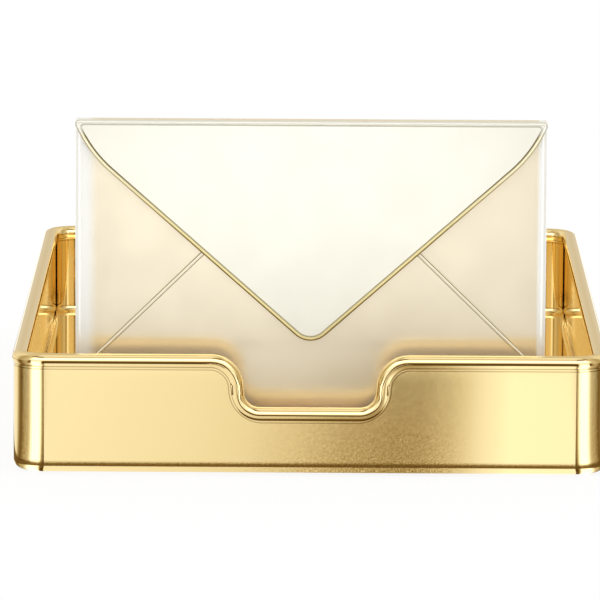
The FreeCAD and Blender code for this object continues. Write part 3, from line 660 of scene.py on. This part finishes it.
def mirrored_floor(finish, x, y):
    """Brightness of the floor as polished metal mirrors it, for a point in millimetres."""
    out_x = x.math("ABSOLUTE") - STRAIGHT_X
    out_y = y.math("ABSOLUTE") - STRAIGHT_Y
    reach = (out_x.math("MAXIMUM", 0) ** 2 + out_y.math("MAXIMUM", 0) ** 2).math("SQRT")
    away = reach - CORNER
    turn = out_x.math("ARCTAN2", out_y) * DEGREE
    leaning = x + HALF_SPAN + (LEAN_PIVOT - away) * PANEL_LEAN
    near = finish.ramp(leaning, AHEAD, 2 * HALF_SPAN)
    far = away.smooth(*FAR_RISE) * x.smooth(*FAR_FADE)
    ahead = near + (far - near) * away.smooth(*FAR_EDGE)
    around = finish.ramp(turn, ROUND_CORNER, HALF_TURN)
    level = ahead + (around - ahead) * turn.smooth(*CORNER_EDGE)
    behind = away.smooth(*BEHIND_RISE)
    level = level + (behind - level) * y.smooth(*BEHIND_EDGE)
    strip = away.smooth(*STRIP_INNER) * away.smooth(*STRIP_OUTER, 1, 0)
    level = level + (STRIP_LEVEL - level) * STRIP_SHARE * strip
    cloth = speckle(finish, x, y, away, turn, level)
    return level * cloth * (1 - FLAG_SHARE * horizon_flag(finish, x, y, away, turn))


print("panels:", len(AHEAD), "stops ahead,", len(ROUND_CORNER), "round a corner")

# %% [markdown]
# The black flags in front are coarse cloth, and its weave speckles only the dark parts. One more
# flag lies along the horizon in front and draws the dark line along the bead. It is found by the
# angle at which the floor is seen. The angle and the distance together give the height at which
# a ray left the tray, so rays from the rim meet the flag a little before the horizon and rays
# from the wall below don't. A flag of fixed size would darken the wall as well.

# %% Cloth and the horizon's flag
SPECKLE = 1.6
SPECKLE_STRETCH = 0.2
SPECKLE_DEPTH = (1.6, 5.5)
SPECKLE_REACH = (10, 240)
SPECKLE_END = (250, 330)
SPECKLE_LEVEL = (0.4, 0.95)
SPECKLE_FRONT = (-162, -158)
THREAD_ARC = 0.5 * CORNER / DEGREE
RIM_BAND = (47.7, 51.6, 0.4)
RIM_GRAZE = (0.56, 0.66)
RIM_NOTCH = (44, 48)
HORIZON_GRAZE = (0.866, 0.882)
BRIGHT_CORNER = (14, 48, 3)
FLAG_TURN = (50, 70)
FLAG_FRONT = (0, 50)


def speckle(finish, x, y, away, turn, level):
    """A factor round one, for the weave of the cloth in the dark parts in front."""
    along = x + turn * THREAD_ARC
    threads = finish.join(along * SPECKLE, away * (SPECKLE_STRETCH * SPECKLE), 0)
    weave = finish.noise(threads, 1.0, 0.0)
    depth = away.smooth(*SPECKLE_REACH, *SPECKLE_DEPTH) * away.smooth(*SPECKLE_END, 1, 0)
    in_front = y.smooth(*SPECKLE_FRONT, 1, 0)
    return 1 + (weave - 0.5) * level.smooth(*SPECKLE_LEVEL, 1, 0) * depth * in_front


def horizon_flag(finish, x, y, away, turn):
    """One on the black flag along the horizon in front, zero off it."""
    facing = finish.node("ShaderNodeLayerWeight", inputs={"Blend": 0.5}, output="Facing")
    slope = 1 - facing
    source = away * slope / (1 - slope * slope).math("SQRT")
    from_rim = source.band(*RIM_BAND) * facing.smooth(*RIM_GRAZE)
    from_rim = from_rim * x.math("ABSOLUTE").smooth(*RIM_NOTCH)
    horizon = facing.smooth(*HORIZON_GRAZE)
    in_front = turn.smooth(*FLAG_TURN, 1, 0) * y.smooth(*FLAG_FRONT, 1, 0)
    return from_rim.math("MAXIMUM", horizon) * (1 - turn.band(*BRIGHT_CORNER)) * in_front


print("cloth threads", round(1 / SPECKLE, 2), "mm wide")

# %% [markdown]
# ## Floor
#
# The floor is one pale sheet. The camera sees it white, with a tenth of the tray's shadow left in
# it; mirroring rays see the panels; and every other ray sees pale matt paper. Three sheets, each
# hidden from the other rays, would do the same, but one sheet can't drift apart.

# %% Floor
FLOOR_HALF = 3.0
FLOOR_PAPER = (0.9, 0.9, 0.9, 1.0)
WHITE = (1.0, 1.0, 1.0, 1.0)
GLOW_SHARE = 0.9


def floor_finish():
    material, finish = new_material("floor")
    x, y, _ = finish.split(finish.place())
    is_camera, is_glossy = ray_kinds(finish)
    matt = finish.node("ShaderNodeBsdfDiffuse", inputs={"Color": FLOOR_PAPER})
    shadow = finish.node("ShaderNodeBsdfDiffuse", inputs={"Color": WHITE})
    glow = finish.node("ShaderNodeEmission", inputs={"Color": WHITE, "Strength": 1.0})
    panels = warm(finish, mirrored_floor(finish, x * PER_METRE, y * PER_METRE))
    mirrored = finish.node("ShaderNodeEmission", inputs={"Color": panels, "Strength": 1.0})
    seen = finish.node("ShaderNodeMixShader", inputs={0: GLOW_SHARE, 1: shadow, 2: glow})
    first = finish.node("ShaderNodeMixShader", inputs={0: is_camera, 1: matt, 2: seen})
    second = finish.node("ShaderNodeMixShader", inputs={0: is_glossy, 1: first, 2: mirrored})
    finish.node("ShaderNodeOutputMaterial", inputs={"Surface": second})
    return material


def add_floor():
    sheet = bmesh.new()
    bmesh.ops.create_grid(sheet, x_segments=1, y_segments=1, size=FLOOR_HALF)
    mesh = bpy.data.meshes.new("floor")
    sheet.to_mesh(mesh)
    sheet.free()
    floor = bpy.data.objects.new("floor", mesh)
    bpy.context.scene.collection.objects.link(floor)
    floor.data.materials.append(floor_finish())
    return floor


floor = add_floor()
print("floor", floor.dimensions.x, "m across")

# %% [markdown]
# ## Sky
#
# The sky is even white for everything but mirroring rays. For those, `AROUND` gives the panels'
# brightness by the angle round the tray, from straight ahead to behind. They stand between the
# horizon and a pale ceiling, with a black flag along the horizon in front and a dark slot between
# the corner panels and the ceiling. Near the horizon they are dimmer, because the insides of the
# tray mirror that part twice. A dome of mesh could carry the same panels, but it would have to be
# kept out of every other ray.

# %% Sky
AROUND = [
    (0, 2.0), (47, 2.0), (54, 0.9), (64, 0.62), (80, 0.5), (92, 0.4), (100, 0.45), (112, 0.7),
    (122, 0.85), (150, 0.74), (180, 0.60),
]
SKY_WHITE = (1.05, 1.05, 1.05, 1.0)
FLAG_HEIGHT = (4, 22)
DIM_HORIZON = (18, 36, 1.0, 2.0)
WALL_TOP = (50, 60)
SLOT_SIDE = (12, 75, 3)
SLOT_HEIGHT = (53, 71, 3)
SLOT_SHARE = 0.8
ZENITH = (74, 82)
CEILING = 0.64
ZENITH_GAIN = 0.3
SKY_BLACK = 0.06


def mirrored_sky(finish, height, side):
    """Brightness of the sky as polished metal mirrors it, by two angles in degrees."""
    clear = 1 - (1 - side.band(*BRIGHT_CORNER)) * side.smooth(*FLAG_TURN, 1, 0)
    above_flag = clear + (1 - clear) * height.smooth(*FLAG_HEIGHT)
    around = finish.ramp(side, AROUND, HALF_TURN).math("MINIMUM", height.smooth(*DIM_HORIZON))
    walls = around * height.smooth(*WALL_TOP, 1, 0) * above_flag
    slot = side.band(*SLOT_SIDE) * height.band(*SLOT_HEIGHT)
    pale = CEILING + ZENITH_GAIN * height.smooth(*ZENITH)
    ceiling = height.smooth(*WALL_TOP) * pale * (1 - SLOT_SHARE * slot)
    return SKY_BLACK + walls + ceiling


def add_sky():
    sky = bpy.data.worlds.new("studio")
    sky.use_nodes = True
    bpy.context.scene.world = sky
    finish = Finish(sky.node_tree)
    x, y, z = finish.split(finish.node("ShaderNodeTexCoord", output="Generated"))
    height = z.math("ARCSINE") * DEGREE
    side = (x.math("ARCTAN2", -1 * y) * DEGREE).math("ABSOLUTE")
    is_camera, is_glossy = ray_kinds(finish)
    color = finish.mix(is_glossy, SKY_WHITE, warm(finish, mirrored_sky(finish, height, side)))
    background = finish.node("ShaderNodeBackground", inputs={"Color": color, "Strength": 1.0})
    finish.node("ShaderNodeOutputWorld", inputs={"Surface": background})


add_sky()
bpy.context.scene.view_settings.view_transform = "Standard"
print("sky ready")
